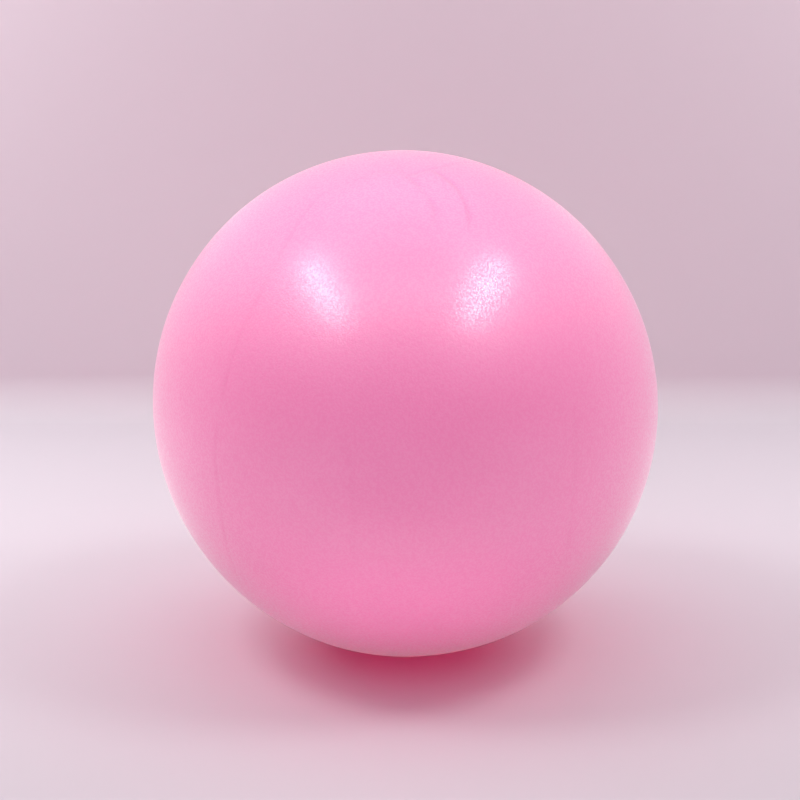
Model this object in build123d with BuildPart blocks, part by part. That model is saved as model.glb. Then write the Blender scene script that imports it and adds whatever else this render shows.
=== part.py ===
from build123d import *
import os
from math import sqrt

# A soft inflatable exercise ball: one hollow moulded PVC skin, a valve bush welded into its wall and
# the loose stopper that closes the valve. All sizes are in millimetres. +Z is up, the ball rests on
# Z = 0 with its floor patch centred on the origin, and the valve looks along +Y at mid-height.

# ---- driving dimensions: skin ----
BALL_DIAMETER = 250.0  # inflated
WALL = 0.7  # thickness of the moulded skin
REST_SINK = 1.8  # how far the ball's own weight flattens it against the floor
PATCH_BLEND_RADIUS = 45.0  # bend between the flat patch and the round of the ball

# ---- driving dimensions: valve bush ----
COLLAR_RADIUS = 7.5  # the part of the bush that shows, flush in the skin
FLANGE_RADIUS = 12.0  # welded against the inside of the skin
FLANGE_ROOT = 1.6  # flange thickness where it meets the throat
FLANGE_RIM = 0.6  # flange thickness at its edge
THROAT_TOP_RADIUS = 5.6
THROAT_TIP_RADIUS = 4.2
THROAT_DEPTH = 16.0  # from the outside of the ball to the inner end of the throat
THROAT_TIP_ROUND = 0.8
DISH_RADIUS = 4.7  # recess that takes the stopper's head
DISH_DEPTH = 2.3
DISH_LIP_ROUND = 0.4
BORE_RADIUS = 2.2

# ---- driving dimensions: stopper ----
HEAD_RADIUS = 4.5
HEAD_CROWN = 0.35  # how much the head's face is domed
HEAD_EDGE_ROUND = 0.4
HEAD_SEAT_GAP = 0.05  # running gap between the head and the floor of its dish
HEAD_FACE_DEPTH = 0.3  # rim of the head below the outside of the ball
RIB_GAP = 0.05  # radial gap between the stem's ribs and the bore
STEM_CORE_RADIUS = 1.75
STEM_LENGTH = 17.0  # under the head
RIB_COUNT = 3
RIB_PITCH = 3.6
RIB_HEIGHT = 1.8  # along the stem
FIRST_RIB_DEPTH = 2.4  # from under the head to the top of the first rib
TIP_TAPER_LENGTH = 3.0
TIP_RADIUS = 0.9

# ---- derived dimensions ----
BALL_RADIUS = BALL_DIAMETER / 2
INNER_RADIUS = BALL_RADIUS - WALL
CENTRE_HEIGHT = BALL_RADIUS - REST_SINK
DISH_FLOOR = BALL_RADIUS - DISH_DEPTH
HEAD_UNDERSIDE = DISH_FLOOR + HEAD_SEAT_GAP
HEAD_RIM = BALL_RADIUS - HEAD_FACE_DEPTH - HEAD_CROWN
HEAD_TOP = BALL_RADIUS - HEAD_FACE_DEPTH
RIB_RADIUS = BORE_RADIUS - RIB_GAP
RIB_BULGE = RIB_RADIUS - STEM_CORE_RADIUS

BALL_CENTRE = (0, 0, CENTRE_HEIGHT)
VALVE_AXIS = Axis(BALL_CENTRE, (0, 1, 0))
VALVE_CROSS_PLANE = Plane(origin=BALL_CENTRE, x_dir=(1, 0, 0), z_dir=(0, 1, 0))
VALVE_SECTION_PLANE = Plane.XY.offset(CENTRE_HEIGHT)


def on_ball(radius, off_axis):
    """A point of a sphere about the ball's centre, at a distance off the valve's axis."""
    return (off_axis, sqrt(radius**2 - off_axis**2))


def corner_at(profile, place):
    """The corner of a profile that lies at a place in its own plane."""
    return profile.vertices().sort_by_distance(place)[0]


def half_outline(inset):
    """Draw the ball's half section, inset from its outside: floor patch, blend arc, round."""
    radius = BALL_RADIUS - inset
    blend = PATCH_BLEND_RADIUS - inset
    reach = BALL_RADIUS - PATCH_BLEND_RADIUS
    patch_radius = sqrt(REST_SINK * (2 * reach - REST_SINK))
    blend_centre = Vector(patch_radius, PATCH_BLEND_RADIUS)
    centre = Vector(0, CENTRE_HEIGHT)
    away = (blend_centre - centre).normalized()
    join = centre + away * radius
    middle_of_blend = (away + Vector(0, -1)).normalized()
    Line((0, inset), (patch_radius, inset))
    ThreePointArc((patch_radius, inset), blend_centre + middle_of_blend * blend, join)
    ThreePointArc(join, centre + Vector(radius, 0), centre + Vector(0, radius))
    Line((0, CENTRE_HEIGHT + radius), (0, inset))


# ---- skin: one hollow moulded shell with the valve's round hole ----
with BuildPart() as ball_skin:
    with BuildSketch(Plane.XZ):
        with BuildLine():
            half_outline(0)
        make_face()
        with BuildLine():
            half_outline(WALL)
        make_face(mode=Mode.SUBTRACT)
    revolve(axis=Axis.Z)
    with BuildSketch(VALVE_CROSS_PLANE):
        Circle(COLLAR_RADIUS)
    extrude(amount=BALL_DIAMETER, mode=Mode.SUBTRACT)
ball_skin.part.label = "ball_skin"

# ---- valve bush: collar flush with the skin, flange inside it, throat with dish and bore ----
with BuildPart() as valve_seat:
    with BuildSketch(VALVE_SECTION_PLANE) as bush_profile:
        with BuildLine():
            collar_inner = on_ball(BALL_RADIUS, DISH_RADIUS)
            collar_outer = on_ball(BALL_RADIUS, COLLAR_RADIUS)
            collar_middle = on_ball(BALL_RADIUS, (DISH_RADIUS + COLLAR_RADIUS) / 2)
            flange_inner = on_ball(INNER_RADIUS, COLLAR_RADIUS)
            flange_outer = on_ball(INNER_RADIUS, FLANGE_RADIUS)
            flange_middle = on_ball(INNER_RADIUS, (COLLAR_RADIUS + FLANGE_RADIUS) / 2)
            throat_tip = BALL_RADIUS - THROAT_DEPTH
            ThreePointArc(collar_inner, collar_middle, collar_outer)
            Line(collar_outer, flange_inner)
            ThreePointArc(flange_inner, flange_middle, flange_outer)
            Polyline(
                flange_outer,
                on_ball(INNER_RADIUS - FLANGE_RIM, FLANGE_RADIUS),
                on_ball(INNER_RADIUS - FLANGE_ROOT, THROAT_TOP_RADIUS),
                (THROAT_TIP_RADIUS, throat_tip),
                (BORE_RADIUS, throat_tip),
                (BORE_RADIUS, DISH_FLOOR),
                (DISH_RADIUS, DISH_FLOOR),
                collar_inner,
            )
        make_face()
        fillet(corner_at(bush_profile, (THROAT_TIP_RADIUS, throat_tip)), THROAT_TIP_ROUND)
        fillet(corner_at(bush_profile, collar_inner), DISH_LIP_ROUND)
    revolve(axis=VALVE_AXIS)
valve_seat.part.label = "valve_seat"

# ---- stopper: domed head in the dish, ribbed stem down the bore, tapered tip ----
with BuildPart() as valve_plug:
    with BuildSketch(VALVE_SECTION_PLANE) as stopper_profile:
        with BuildLine():
            stem_end = HEAD_UNDERSIDE - STEM_LENGTH
            taper_start = stem_end + TIP_TAPER_LENGTH
            head_dome = (HEAD_RADIUS / 2, HEAD_TOP - HEAD_CROWN / 4)
            ThreePointArc((0, HEAD_TOP), head_dome, (HEAD_RADIUS, HEAD_RIM))
            Polyline(
                (HEAD_RADIUS, HEAD_RIM),
                (HEAD_RADIUS, HEAD_UNDERSIDE),
                (STEM_CORE_RADIUS, HEAD_UNDERSIDE),
                (STEM_CORE_RADIUS, taper_start),
                (TIP_RADIUS, stem_end),
                (0, stem_end),
                (0, HEAD_TOP),
            )
        make_face()
        for rib in range(RIB_COUNT):
            rib_top = HEAD_UNDERSIDE - FIRST_RIB_DEPTH - rib * RIB_PITCH
            rib_bottom = rib_top - RIB_HEIGHT
            rib_widest = (RIB_RADIUS, (rib_top + rib_bottom) / 2)
            with BuildLine():
                ThreePointArc((STEM_CORE_RADIUS, rib_top), rib_widest, (STEM_CORE_RADIUS, rib_bottom))
                Polyline(
                    (STEM_CORE_RADIUS, rib_bottom),
                    (STEM_CORE_RADIUS - RIB_BULGE, rib_bottom),
                    (STEM_CORE_RADIUS - RIB_BULGE, rib_top),
                    (STEM_CORE_RADIUS, rib_top),
                )
            make_face()
        fillet(corner_at(stopper_profile, (HEAD_RADIUS, HEAD_RIM)), HEAD_EDGE_ROUND)
    revolve(axis=VALVE_AXIS)
valve_plug.part.label = "valve_plug"

# ---- one file per piece ----
os.makedirs("parts", exist_ok=True)
export_step(ball_skin.part, "parts/ball_skin.step")
export_step(valve_seat.part, "parts/valve_seat.step")
export_step(valve_plug.part, "parts/valve_plug.step")
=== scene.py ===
from math import cos, pi, radians, sin, sqrt, tan

import bmesh
import bpy
import numpy as np
from mathutils import Matrix, Vector, noise
from mathutils.kdtree import KDTree


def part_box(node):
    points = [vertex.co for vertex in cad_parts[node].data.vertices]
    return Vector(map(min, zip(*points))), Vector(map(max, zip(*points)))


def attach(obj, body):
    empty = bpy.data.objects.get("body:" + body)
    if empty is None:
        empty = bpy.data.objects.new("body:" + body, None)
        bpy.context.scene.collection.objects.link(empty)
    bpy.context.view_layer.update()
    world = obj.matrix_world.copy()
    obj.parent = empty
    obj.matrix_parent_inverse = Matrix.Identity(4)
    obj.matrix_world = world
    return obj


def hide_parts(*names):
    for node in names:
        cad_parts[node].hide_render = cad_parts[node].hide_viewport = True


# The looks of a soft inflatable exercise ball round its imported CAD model: a frosted PVC skin with the
# folds it was packed in, the valve bush welded into it and the stopper. Everything is in metres.
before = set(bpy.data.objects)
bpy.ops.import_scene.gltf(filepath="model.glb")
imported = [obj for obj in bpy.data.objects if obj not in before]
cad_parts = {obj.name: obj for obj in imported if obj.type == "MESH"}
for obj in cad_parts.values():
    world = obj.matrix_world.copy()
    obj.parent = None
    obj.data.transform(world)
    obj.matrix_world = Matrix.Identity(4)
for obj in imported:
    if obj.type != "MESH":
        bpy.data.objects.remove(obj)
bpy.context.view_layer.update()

# ---- measures read from the CAD model ----
skin_low, skin_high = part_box("ball_skin")
BALL_RADIUS = (skin_high.x - skin_low.x) / 2
BALL_CENTRE = Vector((0, 0, skin_high.z - BALL_RADIUS))
REST_SINK = BALL_RADIUS - BALL_CENTRE.z

# ---- measures repeated from the CAD model ----
MM = 0.001
WALL = 0.7 * MM
PATCH_BLEND_RADIUS = 45 * MM
COLLAR_RADIUS = 7.5 * MM
FLANGE_RADIUS = 12 * MM
THROAT_TOP_RADIUS = 5.6 * MM
THROAT_TIP_RADIUS = 4.2 * MM
DISH_RADIUS = 4.7 * MM
BORE_RADIUS = 2.2 * MM
HEAD_RADIUS = 4.5 * MM
HEAD_CROWN = 0.35 * MM
STEM_CORE_RADIUS = 1.75 * MM
TIP_RADIUS = 0.9 * MM
RIB_COUNT = 3
RIB_PITCH = 3.6 * MM
RIB_HEIGHT = 1.8 * MM
RIB_BULGE = 0.4 * MM

# ---- places along the valve's axis, measured from the ball's centre ----
FLANGE_ROOT = BALL_RADIUS - WALL - 1.6 * MM
FLANGE_RIM = BALL_RADIUS - WALL - 0.6 * MM
THROAT_TIP = BALL_RADIUS - 16 * MM
DISH_FLOOR = BALL_RADIUS - 2.3 * MM
HEAD_UNDERSIDE = DISH_FLOOR + 0.05 * MM
HEAD_TOP = BALL_RADIUS - 0.3 * MM
FIRST_RIB_TOP = HEAD_UNDERSIDE - 2.4 * MM
STEM_END = HEAD_UNDERSIDE - 17 * MM
TAPER_START = STEM_END + 3 * MM

# ---- the skin's mesh ----
OUTSIDE_SUBDIVISIONS = 7
INSIDE_SUBDIVISIONS = 6
FOLD_BANDS = (3.6 * MM, 2.2 * MM)  # the mesh is halved within each distance of a fold
VALVE_BANDS = (20 * MM, 15 * MM)  # and within each distance of the valve's axis
FOLD_SAMPLE_STEP = 0.4 * MM
FAINTEST_FOLD = 0.02  # a fold weaker than this needs no finer mesh
FAR_OFF = 9.0  # stands for the far half of the ball, where there is no valve
HOLE_POINT_GAP = 0.25 * MM  # points of the hole's edge closer than this become one
SAME_POINT = 0.001 * MM

# ---- the skin's shape ----
OVAL = 0.006  # how far out of round the ball is, as a share of its radius
OVAL_AXIS = Vector((-0.62, 0.20, 0.76)).normalized()
SWELL = 0.16 * MM  # slow unevenness of the wall
SWELL_LENGTH = 45 * MM
FLANGE_MARK = 0.10 * MM  # the inner flange shows through as a faint step
FLANGE_MARK_WIDTH = 1.6 * MM
WELD_GROOVE = 0.14 * MM  # the weld round the collar
WELD_GROOVE_WIDTH = 0.7 * MM
SMOOTH_ROUND_VALVE = (14 * MM, 40 * MM)  # the ball is true at the valve, and uneven beyond this
SMOOTH_ROUND_PATCH = (-0.97, -0.80)  # the same round the floor patch, as heights of a unit ball
UNFOLDED_ROUND_VALVE = (14 * MM, 22 * MM)
UNFOLDED_ROUND_PATCH = (-0.97, -0.90)
FOLD_WIDTH = 1.25 * MM
FOLD_DEPTH = 0.17 * MM
RIDGE_PLACE = 2.1 * FOLD_WIDTH  # each fold has a low ridge at both sides
RIDGE_WIDTH = 1.1 * FOLD_WIDTH
RIDGE_SHARE = 0.35
FOLD_TINT_WIDTH = 1.3 * FOLD_WIDTH
FOLD_FADE = 14 * MM  # length over which a free end fades out
FOLD_MEAN = 0.75  # a fold's strength wanders about this share
FOLD_WANDER = 0.5
FOLD_WANDER_SCALE = 9.0


def smooth_step(low, high, value):
    """0 below low, 1 above high, and an even S between them."""
    t = np.clip((value - low) / (high - low), 0.0, 1.0)
    return t * t * (3 - 2 * t)


def bell(value, centre, width):
    """1 at the centre, falling off to both sides."""
    return np.exp(-(((value - centre) / width) ** 2))


# ---- the folds left from packing the ball flat, as (azimuth, height) in degrees about its centre ----
# Azimuth 0 looks along -Y, positive towards +X. The folds run like meridians from corners near the top.
LEFT_CORNER = (1, 73)
MIDDLE_CORNER = (24, 76)
RIGHT_CORNER = (81, 76)
CORNERS = (LEFT_CORNER, MIDDLE_CORNER, RIGHT_CORNER)
FOLDS = (
    (0.8, (LEFT_CORNER, MIDDLE_CORNER, (46, 77), RIGHT_CORNER)),
    (1.1, (LEFT_CORNER, (8, 68), (12, 60), (9, 53))),
    (1.2, (MIDDLE_CORNER, (29, 69), (29, 65), (26, 58), (22, 52))),
    (0.5, (LEFT_CORNER, (-19, 75), (-33, 69), (-42, 61), (-40, 47), (-40, 36), (-42, 20), (-43, 8))),
    (0.6, ((-43, 10), (-44, 0), (-44, -10), (-46, -22), (-52, -40))),
    (0.3, ((-13, 10), (-11, -1), (-11, -12), (-12, -24))),
    (0.35, ((38, 14), (38, 0), (38, -11), (41, -28))),
    (0.5, ((18, -4), (17, -14))),
    (0.5, (RIGHT_CORNER, (110, 66), (122, 48), (118, 25), (124, 0), (120, -24), (128, -46))),
    (0.5, (LEFT_CORNER, (-110, 82), (-124, 64), (-117, 38), (-121, 10), (-116, -18), (-122, -44))),
    (0.7, ((150, 50), (156, 34), (152, 22))),
    (0.7, ((-152, -16), (-158, -34), (-150, -52))),
    (0.6, ((84, 40), (80, 18), (84, -4), (80, -20))),
    (0.6, ((-86, 34), (-80, 14), (-84, -8), (-80, -30))),
)


def direction(azimuth, height):
    """The unit vector at an azimuth and height in degrees."""
    a, h = radians(azimuth), radians(height)
    return Vector((sin(a) * cos(h), -cos(a) * cos(h), sin(h)))


def through(points, step):
    """Points about a step apart on a Catmull-Rom curve through the given directions of the ball."""
    ends = [2 * points[0] - points[1], *points, 2 * points[-1] - points[-2]]
    out = []
    for a, b, c, d in zip(ends, ends[1:], ends[2:], ends[3:]):
        count = max(2, round((c - b).length / step))
        for i in range(count):
            t = i / count
            p = b * 2 + (c - a) * t + (a * 2 - b * 5 + c * 4 - d) * t**2 + (b * 3 - a - c * 3 + d) * t**3
            out.append((p / 2).normalized())
    return out + [points[-1].normalized()]


def fold_samples():
    """Every fold as points of the unit sphere, each with its strength, which fades out at a free end."""
    places, strengths = [], []
    for strength, marks in FOLDS:
        line = through([direction(*m) for m in marks], FOLD_SAMPLE_STEP / BALL_RADIUS)
        along = np.arange(len(line)) * FOLD_SAMPLE_STEP
        start = 1.0 if marks[0] in CORNERS else smooth_step(0, FOLD_FADE, along)
        end = 1.0 if marks[-1] in CORNERS else smooth_step(0, FOLD_FADE, along[-1] - along)
        wander = [FOLD_MEAN + FOLD_WANDER * noise.noise(p * FOLD_WANDER_SCALE) for p in line]
        places += line
        strengths += list(strength * start * end * np.array(wander))
    return places, strengths


fold_places, fold_strengths = fold_samples()
fold_tree = KDTree(len(fold_places))
for index, place in enumerate(fold_places):
    fold_tree.insert(place, index)
fold_tree.balance()


def folds_near(directions):
    """Distance in metres to the nearest fold, and that fold's strength, for each direction."""
    found = [fold_tree.find(d) for d in directions]
    away = np.array([f[2] for f in found]) * BALL_RADIUS
    return away, np.array([fold_strengths[f[1]] for f in found])


def unit_ball(subdivisions, refined):
    """A unit sphere of triangles, finer along the folds and round the valve if refined."""
    bm = bmesh.new()
    bmesh.ops.create_icosphere(bm, subdivisions=subdivisions, radius=1)
    for fold_band, valve_band in zip(FOLD_BANDS, VALVE_BANDS) if refined else ():
        directions = [v.co.normalized() for v in bm.verts]
        away, strength = folds_near(directions)
        off_axis = [sqrt(d.x**2 + d.z**2) if d.y > 0 else FAR_OFF for d in directions]
        off_valve = np.array(off_axis) * BALL_RADIUS
        near = ((away < fold_band) & (strength > FAINTEST_FOLD)) | (off_valve < valve_band)
        bm.verts.index_update()
        edges = [e for e in bm.edges if near[e.verts[0].index] and near[e.verts[1].index]]
        bmesh.ops.subdivide_edges(bm, edges=edges, cuts=1, use_grid_fill=True)
        bmesh.ops.triangulate(bm, faces=[f for f in bm.faces if len(f.verts) > 3])
        for v in bm.verts:
            v.co.normalize()
    return bm


def cut_valve_hole(bm, radius):
    """Open the valve's round hole in a unit sphere that stands for one of this radius."""
    share = COLLAR_RADIUS / radius
    bmesh.ops.bisect_plane(
        bm,
        geom=bm.verts[:] + bm.edges[:] + bm.faces[:],
        plane_co=(0, sqrt(1 - share**2), 0),
        plane_no=(0, 1, 0),
        clear_outer=True,
    )
    rim = [v for v in bm.verts if v.is_boundary]
    bmesh.ops.remove_doubles(bm, verts=rim, dist=HOLE_POINT_GAP / radius)
    for v in bm.verts:
        if v.is_boundary:
            away = sqrt(v.co.x**2 + v.co.z**2)
            v.co = Vector((v.co.x * share / away, sqrt(1 - share**2), v.co.z * share / away))


def resting_radius(directions, inset):
    """Distance from the ball's centre to its resting outline, inset by the wall or not."""
    radius = BALL_RADIUS - inset
    blend = PATCH_BLEND_RADIUS - inset
    reach = BALL_RADIUS - PATCH_BLEND_RADIUS
    patch = sqrt(REST_SINK * (2 * reach - REST_SINK))
    down = -directions[:, 2]
    out = np.sqrt(np.clip(1 - down**2, 0, 1))
    floor_height = BALL_CENTRE.z - inset
    towards = out * patch + down * (BALL_CENTRE.z - PATCH_BLEND_RADIUS)
    on_blend = towards + np.sqrt(np.clip(towards**2 - reach**2 + blend**2, 0, None))
    on_floor = floor_height / np.clip(down, 1e-6, None)
    flat = (down > 0) & (out * floor_height <= patch * down)
    bent = (down > 0) & ~flat & (out * (BALL_CENTRE.z - PATCH_BLEND_RADIUS) < patch * down)
    return np.where(flat, on_floor, np.where(bent, on_blend, radius))


def skin_relief(directions):
    """How far the outside stands off the resting outline, and how strongly it is folded there."""
    up = directions[:, 2]
    off_valve = np.hypot(directions[:, 0], directions[:, 2]) * BALL_RADIUS
    off_valve = np.where(directions[:, 1] > 0, off_valve, 1.0)
    vectors = [Vector(d) for d in directions]
    free = smooth_step(*SMOOTH_ROUND_VALVE, off_valve) * smooth_step(*SMOOTH_ROUND_PATCH, up)
    oval = 2 * (directions @ np.array(OVAL_AXIS)) ** 2 - 1
    swell = np.array([noise.noise(v * (BALL_RADIUS / SWELL_LENGTH)) for v in vectors])
    relief = free * (oval * OVAL * BALL_RADIUS + swell * SWELL)
    away, strength = folds_near(vectors)
    strength = strength * smooth_step(*UNFOLDED_ROUND_VALVE, off_valve)
    strength = strength * smooth_step(*UNFOLDED_ROUND_PATCH, up)
    groove = bell(away, 0, FOLD_WIDTH)
    ridge = bell(away, RIDGE_PLACE, RIDGE_WIDTH)
    relief += FOLD_DEPTH * strength * (RIDGE_SHARE * ridge - groove)
    past_flange = smooth_step(FLANGE_RADIUS, FLANGE_RADIUS + FLANGE_MARK_WIDTH, off_valve)
    relief += FLANGE_MARK * (1 - past_flange)
    relief -= WELD_GROOVE * bell(off_valve, COLLAR_RADIUS, WELD_GROOVE_WIDTH)
    return relief, strength * bell(away, 0, FOLD_TINT_WIDTH)


def mesh_arrays(bm):
    """The points of a mesh as an array, and its faces as lists of point numbers."""
    bm.verts.index_update()
    return np.array([v.co for v in bm.verts]), [[v.index for v in f.verts] for f in bm.faces]


def make_skin():
    """The whole shell as one closed mesh: outside, inside and the edge of the valve's hole."""
    outside = unit_ball(OUTSIDE_SUBDIVISIONS, True)
    cut_valve_hole(outside, BALL_RADIUS)
    inside = unit_ball(INSIDE_SUBDIVISIONS, False)
    cut_valve_hole(inside, BALL_RADIUS - WALL)
    outer, outer_faces = mesh_arrays(outside)
    inner, inner_faces = mesh_arrays(inside)
    outside.free()
    inside.free()
    outer /= np.linalg.norm(outer, axis=1)[:, None]
    inner /= np.linalg.norm(inner, axis=1)[:, None]
    relief, fold = skin_relief(outer)
    inner_relief, _ = skin_relief(inner)
    centre = np.array(BALL_CENTRE)
    outer_points = outer * (resting_radius(outer, 0) + relief)[:, None] + centre
    inner_points = inner * (resting_radius(inner, WALL) + inner_relief)[:, None] + centre
    count = len(outer)
    faces = outer_faces + [[count + i for i in reversed(f)] for f in inner_faces]
    mesh = bpy.data.meshes.new("ball_skin_shell")
    mesh.from_pydata(np.concatenate([outer_points, inner_points]).tolist(), [], faces)
    marks = mesh.attributes.new("fold", "FLOAT", "POINT")
    marks.data.foreach_set("value", np.concatenate([fold, np.zeros(len(inner))]).astype(np.float32))
    bm = bmesh.new()
    bm.from_mesh(mesh)
    rims = [e for e in bm.edges if e.is_boundary]
    for e in rims:
        e.smooth = False
    bmesh.ops.bridge_loops(bm, edges=rims)
    bmesh.ops.triangulate(bm, faces=[f for f in bm.faces if len(f.verts) > 3])
    for f in bm.faces:
        f.smooth = True
    bm.to_mesh(mesh)
    bm.free()
    skin = bpy.data.objects.new("ball_shell", mesh)
    bpy.context.scene.collection.objects.link(skin)
    return skin


# ---- the valve's turned pieces ----
TURN_SEGMENTS = 96
CORNER_STEPS = 8
COLLAR_GROOVE = 6.2 * MM  # a ring pressed into the collar by the welding tool
COLLAR_GROOVE_DEPTH = 0.16 * MM
COLLAR_GROOVE_WIDTH = 0.28 * MM
GATE_RADIUS = 0.8 * MM  # the dimple where the stopper's plastic ran in
GATE_DEPTH = 0.14 * MM
PARTING_RIDGE = 0.06 * MM  # the two fine lines that the mould left down the stem
COLLAR_STEPS = 28
COLLAR_INNER_MARGIN = 0.5 * MM
COLLAR_OUTER_MARGIN = 0.15 * MM
HEAD_STEPS = 30
HEAD_INNER_MARGIN = 0.1 * MM
HEAD_OUTER_MARGIN = 0.5 * MM
GATE_FLOOR_SHARE = 0.6  # how much of the gate's dimple is flat
RIB_STEPS = 13
SHARP_ANGLE = 32

# ---- how far the edges of the valve's pieces are rounded ----
DISH_LIP_ROUND = 0.4 * MM
COLLAR_EDGE_ROUND = 0.08 * MM
FLANGE_EDGE_ROUND = 0.2 * MM
THROAT_ROOT_ROUND = 0.9 * MM
THROAT_TIP_ROUND = 0.8 * MM
BORE_EDGE_ROUND = 0.15 * MM
DISH_FLOOR_ROUND = 0.2 * MM
HEAD_EDGE_ROUND = 0.4 * MM
HEAD_UNDERSIDE_ROUND = 0.15 * MM
STEM_ROOT_ROUND = 0.3 * MM
TAPER_ROUND = 0.5 * MM
STEM_TIP_ROUND = 0.3 * MM


def on_ball(radius, off_axis):
    """How far along the valve's axis a sphere about the ball's centre lies, at a distance off that axis."""
    return sqrt(radius**2 - off_axis**2)


def with_rounds(marks):
    """The points of a closed outline whose marks are (off the axis, along the axis, rounding)."""
    points = []
    for i, (off, along, rounding) in enumerate(marks):
        here = Vector((off, along))
        if rounding == 0:
            points.append(here)
            continue
        to_last = (Vector(marks[i - 1][:2]) - here).normalized()
        to_next = (Vector(marks[(i + 1) % len(marks)][:2]) - here).normalized()
        reach = rounding / tan(to_last.angle(to_next) / 2)
        start, end = here + to_last * reach, here + to_next * reach
        for step in range(CORNER_STEPS + 1):
            t = step / CORNER_STEPS
            points.append(start.lerp(here, t).lerp(here.lerp(end, t), t))
    return points


def turned(name, points, ridge=0.0):
    """A piece turned about the valve's axis from a closed outline, with a ridge at both sides of a stem."""
    vertices, faces = [], []
    for off, along in points:
        for i in range(TURN_SEGMENTS):
            turn = 2 * pi * i / TURN_SEGMENTS
            on_seam = i % (TURN_SEGMENTS // 2) == 0 and TIP_RADIUS <= off <= STEM_CORE_RADIUS
            reach = off + ridge if on_seam else off
            vertices.append(BALL_CENTRE + Vector((reach * cos(turn), along, reach * sin(turn))))
    for ring in range(len(points)):
        following = (ring + 1) % len(points)
        for i in range(TURN_SEGMENTS):
            j = (i + 1) % TURN_SEGMENTS
            rows = ring * TURN_SEGMENTS, following * TURN_SEGMENTS
            faces.append((rows[0] + i, rows[1] + i, rows[1] + j, rows[0] + j))
    mesh = bpy.data.meshes.new(name)
    mesh.from_pydata(vertices, [], faces)
    bm = bmesh.new()
    bm.from_mesh(mesh)
    bmesh.ops.remove_doubles(bm, verts=bm.verts, dist=SAME_POINT)
    bmesh.ops.recalc_face_normals(bm, faces=bm.faces)
    bm.to_mesh(mesh)
    bm.free()
    mesh.shade_smooth()
    mesh.set_sharp_from_angle(angle=radians(SHARP_ANGLE))
    piece = bpy.data.objects.new(name, mesh)
    bpy.context.scene.collection.objects.link(piece)
    return piece


def make_bush():
    """The valve bush: collar in the skin's hole, flange welded inside it, throat with dish and bore."""
    inside = BALL_RADIUS - WALL
    marks = [(DISH_RADIUS, on_ball(BALL_RADIUS, DISH_RADIUS), DISH_LIP_ROUND)]
    collar_start = DISH_RADIUS + COLLAR_INNER_MARGIN
    collar_end = COLLAR_RADIUS - COLLAR_OUTER_MARGIN
    for off in np.linspace(collar_start, collar_end, COLLAR_STEPS):
        groove = COLLAR_GROOVE_DEPTH * bell(off, COLLAR_GROOVE, COLLAR_GROOVE_WIDTH)
        marks.append((off, on_ball(BALL_RADIUS, off) - groove, 0))
    marks += [
        (COLLAR_RADIUS, on_ball(BALL_RADIUS, COLLAR_RADIUS), COLLAR_EDGE_ROUND),
        (COLLAR_RADIUS, on_ball(inside, COLLAR_RADIUS), 0),
        (FLANGE_RADIUS, on_ball(inside, FLANGE_RADIUS), 0),
        (FLANGE_RADIUS, on_ball(FLANGE_RIM, FLANGE_RADIUS), FLANGE_EDGE_ROUND),
        (THROAT_TOP_RADIUS, on_ball(FLANGE_ROOT, THROAT_TOP_RADIUS), THROAT_ROOT_ROUND),
        (THROAT_TIP_RADIUS, THROAT_TIP, THROAT_TIP_ROUND),
        (BORE_RADIUS, THROAT_TIP, BORE_EDGE_ROUND),
        (BORE_RADIUS, DISH_FLOOR, BORE_EDGE_ROUND),
        (DISH_RADIUS, DISH_FLOOR, DISH_FLOOR_ROUND),
    ]
    return turned("valve_bush", with_rounds(marks))


def make_stopper():
    """The stopper: domed head with its gate's dimple, ribbed stem with the mould's lines, tapered tip."""
    marks = [(0, HEAD_TOP - GATE_DEPTH, 0)]
    for off in np.linspace(HEAD_INNER_MARGIN, HEAD_RADIUS - HEAD_OUTER_MARGIN, HEAD_STEPS):
        gate = GATE_DEPTH * (1 - smooth_step(GATE_FLOOR_SHARE * GATE_RADIUS, GATE_RADIUS, off))
        marks.append((off, HEAD_TOP - HEAD_CROWN * (off / HEAD_RADIUS) ** 2 - gate, 0))
    marks += [
        (HEAD_RADIUS, HEAD_TOP - HEAD_CROWN, HEAD_EDGE_ROUND),
        (HEAD_RADIUS, HEAD_UNDERSIDE, HEAD_UNDERSIDE_ROUND),
        (STEM_CORE_RADIUS, HEAD_UNDERSIDE, STEM_ROOT_ROUND),
    ]
    for rib in range(RIB_COUNT):
        for share in np.linspace(0, 1, RIB_STEPS):
            bulge = RIB_BULGE * (1 - (2 * share - 1) ** 2)
            along = FIRST_RIB_TOP - rib * RIB_PITCH - share * RIB_HEIGHT
            marks.append((STEM_CORE_RADIUS + bulge, along, 0))
    marks += [
        (STEM_CORE_RADIUS, TAPER_START, TAPER_ROUND),
        (TIP_RADIUS, STEM_END, STEM_TIP_ROUND),
        (0, STEM_END, 0),
    ]
    return turned("stopper", with_rounds(marks), PARTING_RIDGE)


# ---- materials: sizes are those of the lumps in each pattern ----
PLASTIC_IOR = 1.5
PVC_CLOUD_SIZE = 60 * MM
PVC_SPECK_SIZE = 1.2 * MM
PVC_FINE_SIZE = 0.9 * MM
PVC_COARSE_SIZE = 2.0 * MM
PVC_SPARK_SIZE = 1.0 * MM
PVC_COARSE_SHARE = 0.5
PVC_BUMP_SHARE = 0.20  # how much of the grain shows in the skin's matt light and in its shine
PVC_SHINE_BUMP_SHARE = 0.13
PVC_SPECK_TINT = 0.06
PVC_SPECK_LIFT = 1.25
PVC_ROUGHNESS_SPREAD = 0.05
PVC_SPECULAR = 0.75
PVC_SHEEN = 0.45
PVC_SHEEN_ROUGHNESS = 0.5
PVC_COAT_LEAST = 0.3
PVC_COAT_ROUGHNESS = 0.29
PVC_COAT_IOR = 1.7
FOLD_TINT = (0.94, 0.66, 0.84)
FOLD_TINT_SHARE = 0.55

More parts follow.
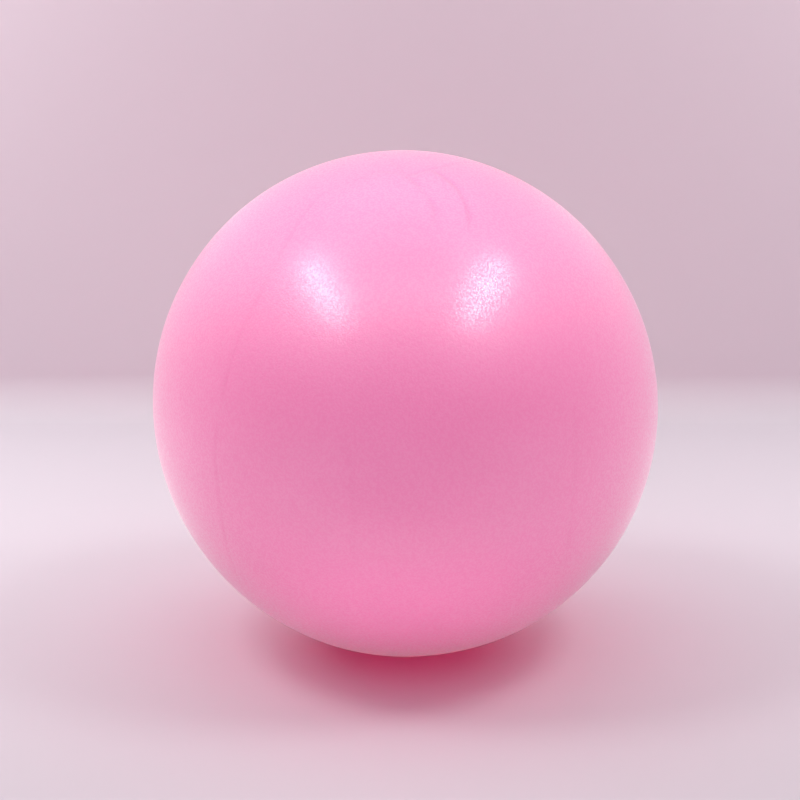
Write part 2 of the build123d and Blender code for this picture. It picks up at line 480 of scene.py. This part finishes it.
PLASTIC_CLOUD_SIZE = 4.0 * MM
PLASTIC_SCUFF_SIZE = 0.7 * MM
PLASTIC_GRAIN_SIZE = 0.12 * MM
PLASTIC_GRAIN_HEIGHT = 0.01 * MM
PLASTIC_SCUFF_TINT = 0.35
PLASTIC_SMOOTH = 0.30  # roughness between and in the scuffs
PLASTIC_SCUFFED = 0.48


def new_material(name):
    """A node material, its node tree and its Principled shader."""
    material = bpy.data.materials.new(name)
    material.use_nodes = True
    tree = material.node_tree
    return material, tree, tree.nodes["Principled BSDF"]


def add(tree, kind, values=None, **settings):
    """A node with its settings and its input values."""
    node = tree.nodes.new(kind)
    for name, value in settings.items():
        setattr(node, name, value)
    for name, value in (values or {}).items():
        node.inputs[name].default_value = value
    return node


def noise_at(tree, place, size, detail=2.0, roughness=0.5):
    """A noise whose lumps are about this many metres across."""
    node = add(tree, "ShaderNodeTexNoise", {"Scale": 1 / size, "Detail": detail, "Roughness": roughness})
    tree.links.new(place.outputs["Object"], node.inputs["Vector"])
    return node


def mix_colours(tree, factor, first, second, blend="MIX"):
    """Two colours, each fixed or from a node, mixed by a factor from a node."""
    node = add(tree, "ShaderNodeMix", data_type="RGBA", blend_type=blend)
    sockets = [s for s in node.inputs if s.type == "RGBA"]
    for socket, value in zip(sockets, (first, second)):
        if isinstance(value, tuple):
            socket.default_value = (*value, 1)
        else:
            tree.links.new(value, socket)
    tree.links.new(factor, node.inputs["Factor"])
    return next(s for s in node.outputs if s.type == "RGBA")


def ramp(tree, factor, low, high, from_low=0.3, from_high=0.7):
    """A value, or a colour if low and high are colours, that follows a factor from low to high."""
    spread = add(tree, "ShaderNodeMapRange", {"From Min": from_low, "From Max": from_high})
    tree.links.new(factor, spread.inputs["Value"])
    if isinstance(low, tuple):
        return mix_colours(tree, spread.outputs["Result"], low, high)
    spread.inputs["To Min"].default_value = low
    spread.inputs["To Max"].default_value = high
    return spread.outputs["Result"]


def frosted_pvc(name, pale, deep, grain, roughness):
    """Soft pink PVC with a fine frosted grain, a slow change of tone and marks where it was folded."""
    material, tree, shader = new_material(name)
    place = add(tree, "ShaderNodeTexCoord")
    cloud = noise_at(tree, place, PVC_CLOUD_SIZE, detail=3.0)
    speck = noise_at(tree, place, PVC_SPECK_SIZE).outputs["Fac"]
    tone = ramp(tree, cloud.outputs["Fac"], pale, deep)
    fold = add(tree, "ShaderNodeAttribute", attribute_name="fold")
    fold_share = ramp(tree, fold.outputs["Fac"], 0.0, FOLD_TINT_SHARE, 0.0, 1.0)
    fold_colour = tuple(part * tint for part, tint in zip(deep, FOLD_TINT))
    folded = mix_colours(tree, fold_share, tone, fold_colour)
    speck_share = ramp(tree, speck, 0.0, PVC_SPECK_TINT, 0.45, 0.75)
    speck_colour = tuple(min(1, part * PVC_SPECK_LIFT) for part in pale)
    speckled = mix_colours(tree, speck_share, folded, speck_colour)
    tree.links.new(speckled, shader.inputs["Base Color"])
    dull = ramp(tree, speck, roughness + PVC_ROUGHNESS_SPREAD, roughness - PVC_ROUGHNESS_SPREAD)
    tree.links.new(dull, shader.inputs["Roughness"])
    fine = noise_at(tree, place, PVC_FINE_SIZE, roughness=0.6)
    coarse = noise_at(tree, place, PVC_COARSE_SIZE, detail=1.0)
    height = add(tree, "ShaderNodeMath", operation="MULTIPLY_ADD")
    height.inputs[1].default_value = PVC_COARSE_SHARE
    tree.links.new(coarse.outputs["Fac"], height.inputs[0])
    tree.links.new(fine.outputs["Fac"], height.inputs[2])
    for share, surface in ((PVC_BUMP_SHARE, "Normal"), (PVC_SHINE_BUMP_SHARE, "Coat Normal")):
        bump = add(tree, "ShaderNodeBump", {"Strength": 1.0, "Distance": grain * share})
        tree.links.new(height.outputs[0], bump.inputs["Height"])
        tree.links.new(bump.outputs["Normal"], shader.inputs[surface])
    shader.inputs["IOR"].default_value = PLASTIC_IOR
    shader.inputs["Specular IOR Level"].default_value = PVC_SPECULAR
    shader.inputs["Sheen Weight"].default_value = PVC_SHEEN
    shader.inputs["Sheen Roughness"].default_value = PVC_SHEEN_ROUGHNESS
    spark = noise_at(tree, place, PVC_SPARK_SIZE, detail=1.0)
    coat = ramp(tree, spark.outputs["Fac"], PVC_COAT_LEAST, 1.0, 0.42, 0.58)
    tree.links.new(coat, shader.inputs["Coat Weight"])
    shader.inputs["Coat Roughness"].default_value = PVC_COAT_ROUGHNESS
    shader.inputs["Coat IOR"].default_value = PVC_COAT_IOR
    return material


def moulded_plastic(name, pale, deep):
    """Milky moulded plastic with a cloudy tone, scuffs that change its gloss and a fine grain."""
    material, tree, shader = new_material(name)
    place = add(tree, "ShaderNodeTexCoord")
    cloud = noise_at(tree, place, PLASTIC_CLOUD_SIZE, detail=3.0)
    scuff = noise_at(tree, place, PLASTIC_SCUFF_SIZE, detail=4.0, roughness=0.65).outputs["Fac"]
    grain = noise_at(tree, place, PLASTIC_GRAIN_SIZE)
    tone = ramp(tree, cloud.outputs["Fac"], pale, deep)
    scuff_share = ramp(tree, scuff, 0.0, PLASTIC_SCUFF_TINT, 0.55, 0.75)
    scuffed = mix_colours(tree, scuff_share, tone, deep, "MULTIPLY")
    tree.links.new(scuffed, shader.inputs["Base Color"])
    tree.links.new(ramp(tree, scuff, PLASTIC_SMOOTH, PLASTIC_SCUFFED), shader.inputs["Roughness"])
    bump = add(tree, "ShaderNodeBump", {"Strength": 1.0, "Distance": PLASTIC_GRAIN_HEIGHT})
    tree.links.new(grain.outputs["Fac"], bump.inputs["Height"])
    tree.links.new(bump.outputs["Normal"], shader.inputs["Normal"])
    shader.inputs["IOR"].default_value = PLASTIC_IOR
    return material


# ---- the three pieces ----
SKIN_PALE = (0.89, 0.214, 0.463)
SKIN_DEEP = (0.88, 0.199, 0.443)
SKIN_GRAIN = 0.45 * MM
SKIN_ROUGHNESS = 0.55
BUSH_PALE = (0.78, 0.16, 0.38)
BUSH_DEEP = (0.75, 0.145, 0.36)
BUSH_GRAIN = 0.10 * MM
BUSH_ROUGHNESS = 0.34
STOPPER_PALE = (0.86, 0.83, 0.81)
STOPPER_DEEP = (0.80, 0.765, 0.75)

skin = make_skin()
skin.data.materials.append(frosted_pvc("skin_pvc", SKIN_PALE, SKIN_DEEP, SKIN_GRAIN, SKIN_ROUGHNESS))
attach(skin, "ball")
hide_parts("ball_skin")

bush = make_bush()
bush.data.materials.append(frosted_pvc("bush_pvc", BUSH_PALE, BUSH_DEEP, BUSH_GRAIN, BUSH_ROUGHNESS))
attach(bush, "ball")
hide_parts("valve_seat")

stopper = make_stopper()
stopper.data.materials.append(moulded_plastic("stopper_plastic", STOPPER_PALE, STOPPER_DEEP))
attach(stopper, "plug")
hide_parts("valve_plug")

# ---- stage: pale floor that bends up into a low backdrop ----
FLOOR_REACH = 8.0
BACKDROP_START = 0.395
BACKDROP_BEND = 0.03
BACKDROP_HEIGHT = 0.6
BACKDROP_FADE = 0.37  # height where the backdrop starts to fade away
BEND_LEAD = 0.2  # flat strip before the bend
BEND_STEPS = 24
FLOOR_COLOUR = (0.605, 0.56, 0.605)
BACKDROP_COLOUR = (0.745, 0.635, 0.70)
PAPER_ROUGHNESS = 0.9
PAPER_SPECULAR = 0.15
# The far floor is painted with room light: an emission that grows with distance, not a lamp.
PAINTED_ROOM_LIGHT_FROM = 0.6  # painted room light: the far floor starts to glow from here
PAINTED_ROOM_LIGHT_FULL = 1.8  # and glows at its whole strength here
PAINTED_ROOM_LIGHT_STRENGTH = 0.30
PAINTED_ROOM_LIGHT_COLOUR = (0.98, 0.92, 0.97)


def sweep_paper():
    """Matt paper, tinted by height, glowing far off with painted room light, and clear from behind and at
    its top edge.
    """
    material, tree, shader = new_material("sweep_paper")
    place = add(tree, "ShaderNodeTexCoord")
    axes = add(tree, "ShaderNodeSeparateXYZ")
    tree.links.new(place.outputs["Object"], axes.inputs[0])
    paper = ramp(tree, axes.outputs["Z"], FLOOR_COLOUR, BACKDROP_COLOUR, 0.0, BACKDROP_BEND)
    tree.links.new(paper, shader.inputs["Base Color"])
    shader.inputs["Roughness"].default_value = PAPER_ROUGHNESS
    shader.inputs["Specular IOR Level"].default_value = PAPER_SPECULAR
    off_centre = add(tree, "ShaderNodeVectorMath", operation="LENGTH")
    tree.links.new(place.outputs["Object"], off_centre.inputs[0])
    # painted room light: the far paper glows in place of the room's light falling on it
    painted_room_light = ramp(tree, off_centre.outputs["Value"], 0.0, PAINTED_ROOM_LIGHT_STRENGTH, PAINTED_ROOM_LIGHT_FROM, PAINTED_ROOM_LIGHT_FULL)
    tree.links.new(painted_room_light, shader.inputs["Emission Strength"])
    shader.inputs["Emission Color"].default_value = (*PAINTED_ROOM_LIGHT_COLOUR, 1)
    output = next(n for n in tree.nodes if n.type == "OUTPUT_MATERIAL")
    back = add(tree, "ShaderNodeNewGeometry")
    clear = add(tree, "ShaderNodeBsdfTransparent")
    mix = add(tree, "ShaderNodeMixShader")
    faded = ramp(tree, axes.outputs["Z"], 0.0, 1.0, BACKDROP_FADE, BACKDROP_HEIGHT)
    unseen = add(tree, "ShaderNodeMath", operation="MAXIMUM")
    tree.links.new(back.outputs["Backfacing"], unseen.inputs[0])
    tree.links.new(faded, unseen.inputs[1])
    tree.links.new(unseen.outputs[0], mix.inputs[0])
    tree.links.new(shader.outputs[0], mix.inputs[1])
    tree.links.new(clear.outputs[0], mix.inputs[2])
    tree.links.new(mix.outputs[0], output.inputs["Surface"])
    return material


def make_stage():
    """A floor with a soft bend up into the backdrop behind the ball."""
    section = [(-FLOOR_REACH, 0.0), (BACKDROP_START - BEND_LEAD, 0.0)]
    for i in range(BEND_STEPS + 1):
        turn = pi / 2 * i / BEND_STEPS
        section.append((BACKDROP_START + BACKDROP_BEND * sin(turn), BACKDROP_BEND * (1 - cos(turn))))
    section.append((BACKDROP_START + BACKDROP_BEND, BACKDROP_HEIGHT))
    points = [(x, y, z) for y, z in section for x in (-FLOOR_REACH, FLOOR_REACH)]
    faces = [(2 * i, 2 * i + 1, 2 * i + 3, 2 * i + 2) for i in range(len(section) - 1)]
    mesh = bpy.data.meshes.new("sweep")
    mesh.from_pydata(points, [], faces)
    for polygon in mesh.polygons:
        polygon.use_smooth = True
    stage = bpy.data.objects.new("sweep", mesh)
    bpy.context.scene.collection.objects.link(stage)
    mesh.materials.append(sweep_paper())
    return stage


sweep = make_stage()

# ---- lights: places are measured from the ball's centre, and every panel faces it ----
BALL_PIECES = (skin, bush, stopper)
FLOOR_PIECES = (sweep,)
ALONG_X = (1, 0, 0)
ALONG_Y = (0, 1, 0)
GLOW_POWER = 0.32
GLOW_COLOUR = (1.0, 0.06, 0.22)
GLOW_SIZE = 0.02


def shine_only_on(light, name, pieces):
    """Keep a light for some pieces alone."""
    receivers = bpy.data.collections.new(name)
    for piece in pieces:
        receivers.objects.link(piece)
    light.light_linking.receiver_collection = receivers
    return receivers


def panel_light(name, centre, along, size, power, mirrored=False, pieces=()):
    """An area light with its long side along a direction, mirrored in the skin or not."""
    data = bpy.data.lights.new(name, "AREA")
    data.shape = "RECTANGLE"
    data.size, data.size_y = size
    data.energy = power
    light = bpy.data.objects.new(name, data)
    away = Vector(centre).normalized()
    across = Vector(along).cross(away).normalized()
    light.matrix_world = Matrix((across, away.cross(across), away)).transposed().to_4x4()
    light.location = BALL_CENTRE + Vector(centre)
    light.visible_camera = False
    light.visible_glossy = mirrored
    bpy.context.scene.collection.objects.link(light)
    if pieces:
        shine_only_on(light, f"{name}_pieces", pieces)


def glow_light():
    """The pink light through the ball's thin skin: a lamp in its middle that lights only the floor."""
    data = bpy.data.lights.new("skin_glow", "POINT")
    data.energy = GLOW_POWER
    data.color = GLOW_COLOUR
    data.shadow_soft_size = GLOW_SIZE
    light = bpy.data.objects.new("skin_glow", data)
    light.location = BALL_CENTRE
    light.visible_camera = False
    bpy.context.scene.collection.objects.link(light)
    light.light_linking.blocker_collection = shine_only_on(light, "floor_only", FLOOR_PIECES)


for side, name, back_power in ((-1, "left", 1.7), (1, "right", 1.05)):
    panel_light(
        f"strip_{name}",
        centre=(side * 0.60, -0.36, 0.96),
        along=(side * -0.24, -0.94, -0.23),
        size=(0.06, 0.70),
        power=5.8,
        mirrored=True,
        pieces=BALL_PIECES,
    )
    panel_light(
        f"floor_top_{name}",
        centre=(side * 0.65, -0.16, 1.05),
        along=ALONG_Y,
        size=(0.32, 0.36),
        power=3.7,
        pieces=FLOOR_PIECES,
    )
    panel_light(
        f"back_{name}",
        centre=(side * 0.50, 0.25, 0.30),
        along=ALONG_Y,
        size=(0.35, 0.50),
        power=back_power,
    )
    panel_light(
        f"low_{name}",
        centre=(side * 0.35, -0.25, -0.08),
        along=ALONG_Y,
        size=(0.06, 0.50),
        power=0.08,
        pieces=BALL_PIECES,
    )
panel_light("tent_top", centre=(0, 0.32, 1.2), along=ALONG_Y, size=(1.0, 1.0), power=2.2, mirrored=True)
panel_light(
    "high_front",
    centre=(0, -0.55, 0.95),
    along=ALONG_X,
    size=(0.3, 0.5),
    power=0.7,
    mirrored=True,
    pieces=BALL_PIECES,
)
panel_light(
    "low_card",
    centre=(0, -0.45, -0.108),
    along=ALONG_X,
    size=(0.03, 0.90),
    power=0.08,
    pieces=BALL_PIECES,
)
panel_light(
    "low_near",
    centre=(0, -0.18, -0.115),
    along=ALONG_X,
    size=(0.05, 0.50),
    power=0.17,
    pieces=BALL_PIECES,
)
glow_light()

# ---- the tent of light round the stage, open towards the camera ----
TENT_TOP = 0.69
TENT_SIDES = 0.24
TENT_FRONT_EDGES = (-0.85, -0.35)  # Y of the directions between which the sides begin
TENT_TOP_EDGES = (0.35, 0.75)  # Z of the directions between which the sides turn into the top
ROOM_SEEN = 0.60  # what the camera sees past the stage
TENT_COLOUR = (0.98, 0.96, 0.98)


def make_world():
    """A tent whose light falls on the ball, and which looks like a plain pale room to the camera."""
    world = bpy.data.worlds.new("tent")
    world.use_nodes = True
    tree = world.node_tree
    background = tree.nodes["Background"]
    looking = add(tree, "ShaderNodeTexCoord")
    axes = add(tree, "ShaderNodeSeparateXYZ")
    tree.links.new(looking.outputs["Generated"], axes.inputs[0])
    sides = ramp(tree, axes.outputs["Y"], 0.0, TENT_SIDES, *TENT_FRONT_EDGES)
    overhead = ramp(tree, axes.outputs["Z"], 0.0, 1.0, *TENT_TOP_EDGES)
    tent = add(tree, "ShaderNodeMix", {"B": TENT_TOP}, data_type="FLOAT")
    tree.links.new(overhead, tent.inputs["Factor"])
    tree.links.new(sides, tent.inputs["A"])
    rays = add(tree, "ShaderNodeLightPath")
    seen_light = add(tree, "ShaderNodeMix", {"B": ROOM_SEEN}, data_type="FLOAT")
    tree.links.new(rays.outputs["Is Camera Ray"], seen_light.inputs["Factor"])
    tree.links.new(tent.outputs["Result"], seen_light.inputs["A"])
    tree.links.new(seen_light.outputs["Result"], background.inputs["Strength"])
    background.inputs["Color"].default_value = (*TENT_COLOUR, 1)
    return world


bpy.context.scene.world = make_world()

# ---- camera ----
CAMERA_HEIGHT_ANGLE = radians(15)
CAMERA_DISTANCE = 8 * BALL_RADIUS
CAMERA_LENS = 90.4
CAMERA_SENSOR = 36
AIM = BALL_CENTRE + Vector((-2.6 * MM, 0, 1.8 * MM))

camera_data = bpy.data.cameras.new("camera")
camera_data.lens = CAMERA_LENS
camera_data.sensor_width = CAMERA_SENSOR
camera = bpy.data.objects.new("camera", camera_data)
back_off = Vector((0, -cos(CAMERA_HEIGHT_ANGLE), sin(CAMERA_HEIGHT_ANGLE)))
camera.location = AIM + back_off * CAMERA_DISTANCE
camera.rotation_mode = "QUATERNION"
camera.rotation_quaternion = back_off.to_track_quat("Z", "Y")
bpy.context.scene.collection.objects.link(camera)
bpy.context.scene.camera = camera
bpy.context.scene.view_settings.view_transform = "Standard"
